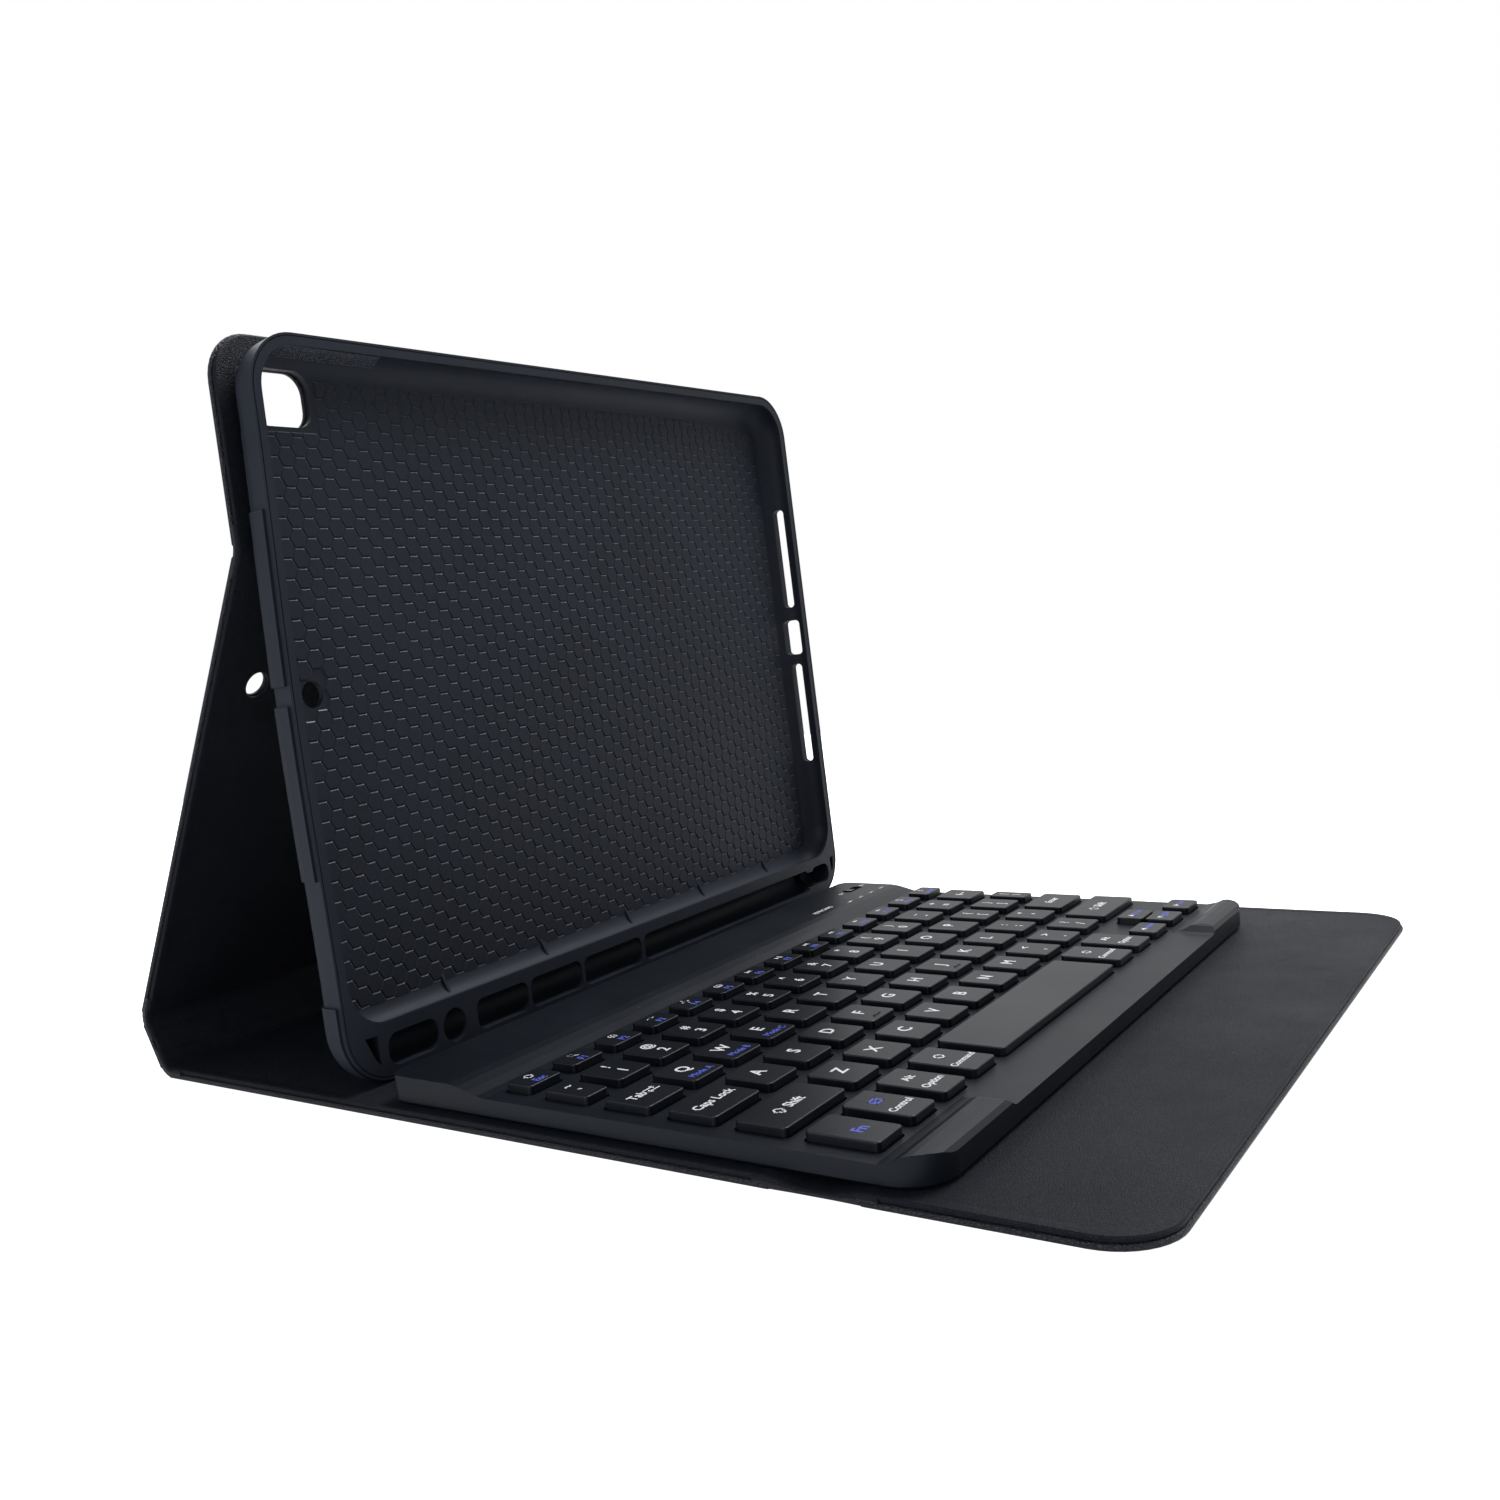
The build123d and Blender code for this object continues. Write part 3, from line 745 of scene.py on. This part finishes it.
# ---------------------------------------------------------------- key legends
def glyph_mesh(text, size):
    """Mesh of a word in the default sans serif, a little emboldened."""
    c = bpy.data.curves.new("glyph", "FONT")
    c.body = text
    c.size = size
    c.align_x = "CENTER"
    c.align_y = "CENTER"
    c.resolution_u = 3
    c.offset = size * 0.024
    o = bpy.data.objects.new("glyph", c)
    bpy.context.scene.collection.objects.link(o)
    bpy.context.view_layer.update()
    mesh = bpy.data.meshes.new_from_object(o.evaluated_get(bpy.context.evaluated_depsgraph_get()))
    bpy.data.objects.remove(o)
    bpy.data.curves.remove(c)
    return mesh


def stroke(points, width, close=False):
    """Quads along a polyline, in millimetres, for a drawn symbol."""
    pts = [Vector(p) for p in points]
    pairs = list(zip(pts, pts[1:])) + ([(pts[-1], pts[0])] if close else [])
    quads = []
    for a, b in pairs:
        d = (b - a).normalized()
        n = Vector((-d.y, d.x)) * width / 2
        e = d * width / 2
        quads.append([a - n - e, b - n + e, b + n + e, a + n - e])
    return quads


W = 0.40        # stroke of the drawn symbols, in millimetres at size 1


def ring(cx, cy, r):
    turns = [2 * math.pi * i / 14 for i in range(14)]
    return stroke([(cx + r * math.cos(a), cy + r * math.sin(a)) for a in turns], W, True)


def fill(points):
    """One solid shape."""
    return [[Vector(p) for p in points]]


def pen(*points):
    return stroke(points, W)


def loop(*points):
    return stroke(points, W, True)


def oblong(half_width, half_height):
    return loop((-half_width, -half_height), (half_width, -half_height), (half_width, half_height),
                (-half_width, half_height))


LEGEND = 1.14   # all legends are enlarged by this
SPEAKER = fill([(-1.2, -0.4), (-0.6, -0.4), (0.2, -1.0), (0.2, 1.0), (-0.6, 0.4), (-1.2, 0.4)])
SYMBOLS = {
    "home": pen((-1.5, 0), (0, 1.3), (1.5, 0)) + pen((-1.0, 0.2), (-1.0, -1.2), (1.0, -1.2), (1.0, 0.2)),
    "find": ring(-0.3, 0.3, 0.85) + stroke([(0.35, -0.35), (1.2, -1.2)], W * 1.3),
    "grid": oblong(1.2, 1) + pen((0, -1), (0, 1)),
    "dimmer": ring(0, 0, 0.6) + pen((-1.5, 0), (-1.1, 0)) + pen((1.1, 0), (1.5, 0)),
    "brighter": ring(0, 0, 0.7) + pen((-1.7, 0), (-1.2, 0)) + pen((1.2, 0), (1.7, 0))
    + pen((0, 1.2), (0, 1.7)) + pen((0, -1.2), (0, -1.7)),
    "panel": oblong(1.5, 0.9) + pen((-0.8, -0.3), (0.8, -0.3)),
    "back": fill([(-1.5, 0), (-0.3, -0.8), (-0.3, 0.8)]) + fill([(-0.3, 0), (0.9, -0.8), (0.9, 0.8)])
    + pen((-1.6, -0.8), (-1.6, 0.8)),
    "play": fill([(-1.3, -0.9), (0.2, 0), (-1.3, 0.9)]) + pen((0.8, -0.8), (0.8, 0.8))
    + pen((1.5, -0.8), (1.5, 0.8)),
    "next": fill([(1.5, 0), (0.3, 0.8), (0.3, -0.8)]) + fill([(0.3, 0), (-0.9, 0.8), (-0.9, -0.8)])
    + pen((1.6, -0.8), (1.6, 0.8)),
    "mute": SPEAKER + pen((0.7, -0.5), (1.5, 0.5)) + pen((0.7, 0.5), (1.5, -0.5)),
    "quieter": SPEAKER + pen((0.7, 0), (1.5, 0)),
    "louder": SPEAKER + pen((0.6, 0), (1.6, 0)) + pen((1.1, -0.5), (1.1, 0.5)),
    "padlock": loop((-0.9, -1.1), (0.9, -1.1), (0.9, 0.1), (-0.9, 0.1))
    + pen((-0.5, 0.2), (-0.5, 0.9), (0.5, 0.9), (0.5, 0.2)),
    "page": oblong(1.0, 1.2),
    "shift_up": loop((0, 1.4), (-1.4, 0), (-0.6, 0), (-0.6, -1.2), (0.6, -1.2), (0.6, 0), (1.4, 0)),
    "tab_arrows": pen((-2.0, 0.6), (1.6, 0.6)) + pen((0.9, 1.1), (1.6, 0.6), (0.9, 0.1))
    + pen((-1.6, -0.7), (2.0, -0.7)) + pen((-0.9, -0.2), (-1.6, -0.7), (-0.9, -1.2)),
    "diamond": loop((0, 1.3), (1.3, 0), (0, -1.3), (-1.3, 0)),
    "picture": oblong(1.3, 0.9) + stroke([(-0.9, -0.5), (-0.2, 0.3), (0.3, -0.2), (0.9, 0.5)], W * 0.8),
    "erase": pen((1.8, 0), (-1.6, 0)) + pen((-0.7, 0.9), (-1.6, 0), (-0.7, -0.9)),
    "left": fill([(-1.2, 0), (0.7, -1.0), (0.7, 1.0)]),
    "right": fill([(1.2, 0), (-0.7, 1.0), (-0.7, -1.0)]),
    "up": fill([(0, 1.1), (-1.0, -0.7), (1.0, -0.7)]),
    "down": fill([(0, -1.1), (1.0, 0.7), (-1.0, 0.7)]),
}
legend_parts = {}


def put(body, colour, x, y, z, text, size):
    """Adds a word, or a symbol named after a colon, to the legends of one body."""
    verts, faces = legend_parts.setdefault((body, colour), ([], []))
    base = len(verts)
    size *= LEGEND
    if text[1:] in SYMBOLS:
        for quad in SYMBOLS[text[1:]]:
            start = len(verts)
            for p in quad:
                verts.append((x + p.x * MM * size, y + p.y * MM * size, z))
            faces.append(tuple(range(start, start + len(quad))))
        return
    mesh = glyph_mesh(text, size * MM)
    for v in mesh.vertices:
        verts.append((x + v.co.x, y + v.co.y, z))
    for p in mesh.polygons:
        faces.append(tuple(base + i for i in p.vertices))
    bpy.data.meshes.remove(mesh)


INK = 0.000012          # height of the print above the plastic


def row_centres(name, count, width):
    """Top centres of the equal keys of one row."""
    lo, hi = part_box(name)
    pitch = (hi[0] - lo[0] - width) / (count - 1)
    y = (lo[1] + hi[1]) / 2
    return [(lo[0] + width / 2 + i * pitch, y, hi[2] + INK) for i in range(count)]


def key_centre(name):
    """Top centre and width of one key."""
    lo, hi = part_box(name)
    return (lo[0] + hi[0]) / 2, (lo[1] + hi[1]) / 2, hi[2] + INK, hi[0] - lo[0]


FUNCTION_WIDTH = 0.01156
STANDARD = 0.01228
function_symbols = ["home", "find", "grid", "dimmer", "brighter", "panel", "back", "play", "next", "mute",
                    "quieter", "louder", "page", "padlock"]
function_words = ["Esc"] + ["F%d" % i for i in range(1, 13)] + ["Lock"]
function = row_centres("keys_function_row", 14, FUNCTION_WIDTH)
for (x, y, z), symbol, word in zip(function, function_symbols, function_words):
    put("keys_function_row_body", "white", x - 0.0001, y + 0.0017, z, ":" + symbol, 0.78)
    put("keys_function_row_body", "blue", x, y - 0.0019, z, word, 2.7)


def put_pairs(body, keys, pairs, rise, rise_size, drop, drop_size):
    """Two characters on each key, one above the other."""
    for (x, y, z), pair in zip(keys, pairs):
        put(body, "white", x, y + rise, z, pair[0], rise_size)
        put(body, "white", x, y - drop, z, pair[1], drop_size)


def put_letters(body, keys, letters, rise):
    for (x, y, z), letter in zip(keys, letters):
        put(body, "white", x - 0.0003, y + rise, z, letter, 4.3)


number = row_centres("keys_number_row", 12, STANDARD)
number_pairs = ["!1", "@2", "#3", "$4", "%5", "^6", "&7", "*8", "(9", ")0", "_-", "+="]
put_pairs("keys_number_row_body", number, number_pairs, 0.0027, 3.5, 0.0025, 3.9)
upper = row_centres("keys_upper_row", 12, STANDARD)
put_letters("keys_upper_row_body", upper[:10], "QWERTYUIOP", 0.0012)
for (x, y, z), word in zip(upper[:3], ("Mode A", "Mode B", "Mode C")):
    put("keys_upper_row_body", "blue", x, y - 0.0037, z, word, 2.3)
put_pairs("keys_upper_row_body", upper[10:], ("{[", "}]"), 0.0025, 3.4, 0.0026, 3.4)
home = row_centres("keys_home_row", 11, STANDARD)
put_letters("keys_home_row_body", home[:9], "ASDFGHJKL", 0.0006)
put_pairs("keys_home_row_body", home[9:], (":;", "\"'"), 0.0022, 3.8, 0.0024, 3.8)
lower = row_centres("keys_lower_row", 10, STANDARD)
put_letters("keys_lower_row_body", lower[:7], "ZXCVBNM", 0.0006)
put_pairs("keys_lower_row_body", lower[7:], ("<,", ">.", "?/"), 0.0024, 3.6, 0.0026, 3.8)

SINGLE = {
    "key_backtick": [("white", 0, 2.6, "~", 3.4), ("white", 0, -2.4, "`", 3.8)],
    "key_backspace": [("white", 0, 0, ":erase", 1.15)],
    "key_tab": [("white", -2.2, 0.3, "Tab", 3.1), ("white", 2.9, 0.3, ":tab_arrows", 0.95)],
    "key_backslash": [("white", 0, 2.6, "|", 3.2), ("white", 0, -2.4, "\\", 3.4)],
    "key_caps_lock": [("white", 0, 0.2, "Caps Lock", 3.0)],
    "key_enter": [("white", 0, 0.2, "Enter", 3.0)],
    "key_left_shift": [("white", -4.6, 0.2, ":shift_up", 1.0), ("white", 1.6, 0.2, "Shift", 3.2)],
    "key_right_shift": [("white", -4.6, 0.2, ":shift_up", 1.0), ("white", 1.6, 0.2, "Shift", 3.2)],
    "key_fn": [("blue", 0, -1.6, "Fn", 3.5)],
    "key_control": [("blue", 0, 2.9, ":picture", 1.0), ("white", 0, -3.0, "Control", 2.4)],
    "key_left_option": [("white", 0, 2.9, "Alt", 2.7), ("white", 0, -3.0, "Option", 2.5)],
    "key_left_command": [("white", 0, 2.9, ":diamond", 1.0), ("white", 0, -3.0, "Command", 2.2)],
    "key_right_command": [("white", 0, 2.9, ":diamond", 1.0), ("white", 0, -3.0, "Command", 2.2)],
    "key_right_option": [("white", 0, 2.9, "Alt", 2.7), ("white", 0, -3.0, "Option", 2.5)],
    "key_left_arrow": [("white", -2.4, 0.4, ":left", 0.85), ("blue", 2.0, 0.2, "Home", 2.2)],
    "key_down_arrow": [("white", -2.6, 0.4, ":down", 0.85), ("blue", 2.0, 0.2, "Pg Dn", 2.2)],
    "key_right_arrow": [("white", -2.4, 0.4, ":right", 0.85), ("blue", 2.0, 0.2, "End", 2.2)],
    "key_up_arrow": [("white", -2.6, 0.4, ":up", 0.85), ("blue", 2.0, 0.2, "Pg Up", 2.2)],
}
for key, marks in SINGLE.items():
    cx, cy, z, width = key_centre(key)
    for colour, dx, dy, text, size in marks:
        put(key + "_body", colour, cx + dx * MM, cy + dy * MM, z, text, size)

guide_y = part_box("kb_light_guides")[0][1]
case_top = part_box("kb_top_case")[1][2] + INK
knob = key_centre("kb_switch_slider")
FIRST_GUIDE_X = 0.0788
GUIDE_PITCH = 0.0081
for i, word in enumerate(("CAPS", "LINK", "CHG", "PWR")):
    put("keyboard", "white", FIRST_GUIDE_X + i * GUIDE_PITCH, guide_y - 0.0016, case_top, word, 1.15)
put("keyboard", "white", knob[0] - 0.0062, knob[1], case_top, "OFF", 1.5)
put("keyboard", "white", knob[0] + 0.0094, knob[1], case_top, "ON", 1.5)
put("keyboard", "white", 0.0640, guide_y + 0.0010, case_top, "KEYBOARD", 2.1)
inks = {"white": WHITE, "blue": BLUE}
for (body, colour), (verts, faces) in legend_parts.items():
    o = mesh_piece(body.replace("_body", "") + "_legend_" + colour, verts, faces, [inks[colour]],
                   False)
    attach(o, body)


def homing_bars():
    """Small raised bars on the two keys where the index fingers rest."""
    verts = []
    faces = []
    foot = [(-1, -1, 0), (1, -1, 0), (1, 1, 0), (-1, 1, 0)]
    top = [(0.9 * dx, 0.5 * dy, 1) for dx, dy, h in foot]
    for i in (3, 6):
        x, y, z = home[i]
        base = len(verts)
        for dx, dy, h in foot + top:
            verts.append((x + dx * 0.0018, y - 0.0042 + dy * 0.0003, z - 0.00003 + h * 0.0003))
        for f in ((0, 1, 5, 4), (1, 2, 6, 5), (2, 3, 7, 6), (3, 0, 4, 7), (4, 5, 6, 7)):
            faces.append(tuple(base + k for k in f))
    o = mesh_piece("homing_bars", verts, faces, [KEYS], False)
    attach(o, "keys_home_row_body")


homing_bars()

# ---------------------------------------------------------------- softened edges on the moulded parts
for name, width in (("tablet_tray", 0.00035), ("kb_top_case", 0.0003), ("kb_bottom_case", 0.0002)):
    part = frame["nodes"][name]
    b = part.modifiers.new("soft_edges", "BEVEL")
    b.width = width
    b.segments = 2
    b.limit_method = "ANGLE"
    b.angle_limit = math.radians(38)
    b.use_clamp_overlap = True


# ---------------------------------------------------------------- floor, light and camera
def floor_piece():
    """Round pale floor that glows a little, so that it stays even and almost free of shadow."""
    bm = bmesh.new()
    bmesh.ops.create_circle(bm, cap_ends=True, segments=96, radius=0.85)
    mesh = bpy.data.meshes.new("floor")
    bm.to_mesh(mesh)
    bm.free()
    o = bpy.data.objects.new("floor", mesh)
    bpy.context.scene.collection.objects.link(o)
    o.location.z = -0.00005
    m, nt, b = new_material("pale_floor", 0.8, 0.0)
    b.inputs["Base Color"].default_value = (0.94, 0.94, 0.94, 1)
    b.inputs["Emission Color"].default_value = (1.0, 1.0, 1.0, 1)
    path = node(nt, "ShaderNodeLightPath")
    glow = node(nt, "ShaderNodeMapRange")
    glow.inputs["To Min"].default_value = 0.35
    glow.inputs["To Max"].default_value = 0.86
    nt.links.new(path.outputs["Is Camera Ray"], glow.inputs["Value"])
    nt.links.new(glow.outputs["Result"], b.inputs["Emission Strength"])
    mesh.materials.append(m)


floor_piece()

world = bpy.data.worlds.new("studio")
bpy.context.scene.world = world
world.use_nodes = True
backdrop = world.node_tree.nodes["Background"]
backdrop.inputs["Color"].default_value = (1.0, 1.0, 1.0, 1)
seen = node(world.node_tree, "ShaderNodeLightPath")
strength = node(world.node_tree, "ShaderNodeMapRange")
strength.inputs["To Min"].default_value = 0.13
strength.inputs["To Max"].default_value = 1.0
bright = math_node(world.node_tree, "MULTIPLY", seen.outputs["Is Glossy Ray"], 0.74)
bright = math_node(world.node_tree, "MAXIMUM", seen.outputs["Is Camera Ray"], bright)
world.node_tree.links.new(bright, strength.inputs["Value"])
world.node_tree.links.new(strength.outputs["Result"], backdrop.inputs["Strength"])
bpy.context.scene.view_settings.view_transform = "Standard"


def area_light(name, location, target, size, power, colour):
    d = bpy.data.lights.new(name, "AREA")
    d.shape = "RECTANGLE"
    d.size = size[0]
    d.size_y = size[1]
    d.energy = power
    d.color = colour
    o = bpy.data.objects.new(name, d)
    bpy.context.scene.collection.objects.link(o)
    o.location = location
    o.rotation_euler = (Vector(target) - Vector(location)).to_track_quat("-Z", "Y").to_euler()


area_light("key_light", (0.62, -0.20, 1.15), (0, 0.03, 0.08), (0.55, 0.55), 16.0, (0.98, 0.99, 1.0))
area_light("fill_light", (-1.15, 0.02, 0.42), (-0.12, 0.0, 0.08), (0.7, 0.7), 7.0, (0.97, 0.98, 1.0))
area_light("rim_light", (0.5, 0.9, 0.9), (0, 0, 0.05), (1.0, 0.6), 7.0, (0.97, 0.98, 1.0))

cam = bpy.data.cameras.new("camera")
cam_obj = bpy.data.objects.new("camera", cam)
bpy.context.scene.collection.objects.link(cam_obj)
bpy.context.scene.camera = cam_obj
SIZE_PX = 1500
FOCAL_PX = 1451.343
CENTRE_PX = (656.663, 743.694)
cam.sensor_width = 36.0
cam.sensor_fit = "HORIZONTAL"
cam.lens = FOCAL_PX / SIZE_PX * cam.sensor_width
cam.shift_x = (SIZE_PX / 2 - CENTRE_PX[0]) / SIZE_PX
cam.shift_y = (CENTRE_PX[1] - SIZE_PX / 2) / SIZE_PX
cam.clip_start = 0.01
axis = Vector((1.479, -0.840, 0.649))
world_to_camera = Matrix.Rotation(axis.length, 3, axis.normalized())
flip = Matrix(((1, 0, 0), (0, -1, 0), (0, 0, -1)))
rotation = (flip @ world_to_camera).transposed()
place = rotation.to_4x4()
front_left = Vector((-HALF, flap_front, 0))
place.translation = Vector((-0.235547, -0.073690, 0.115819)) + front_left
cam_obj.matrix_world = place
